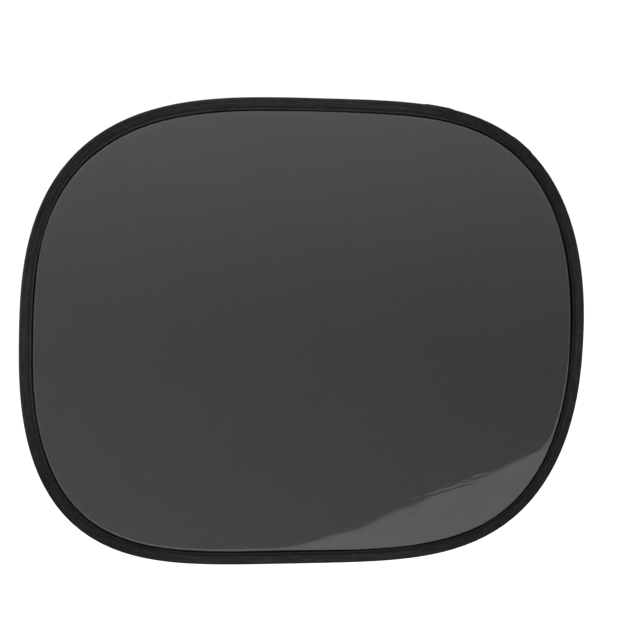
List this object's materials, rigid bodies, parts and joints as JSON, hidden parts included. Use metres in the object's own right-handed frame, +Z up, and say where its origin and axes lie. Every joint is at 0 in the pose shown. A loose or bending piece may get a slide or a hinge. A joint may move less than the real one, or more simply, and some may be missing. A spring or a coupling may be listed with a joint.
{
  "type": "car window cling sunshade",
  "caption": "Rounded car side-window shade: glossy tinted cling film and black mesh cloth sewn into a folded cloth rim that holds a sprung wire hoop.",
  "frame": {"origin": "the middle of the cling face, on the film's free front face", "axes": "+X is the shade's width, to the right as the cling face is seen; +Z is up, its height; +Y goes back through its thickness, and the cling face looks along -Y"},
  "size_m": [0.44, 0.004, 0.36],
  "materials": {
    "film": "smooth glossy tinted film, see-through",
    "mesh_cloth": "fine open knitted mesh",
    "spring_wire": "drawn spring wire",
    "sleeve_steel": "plated, crimped",
    "binding_tape": "woven polyester tape, matte",
    "seam_thread": "twisted polyester thread"
  },
  "bodies": {
    "root": {"cling_film": "film", "mesh_panel": "mesh_cloth", "wire_hoop": "spring_wire", "wire_ferrule": "sleeve_steel", "edge_binding": "binding_tape", "needle_thread": "seam_thread", "bobbin_thread": "seam_thread"}
  },
  "joints": []
}
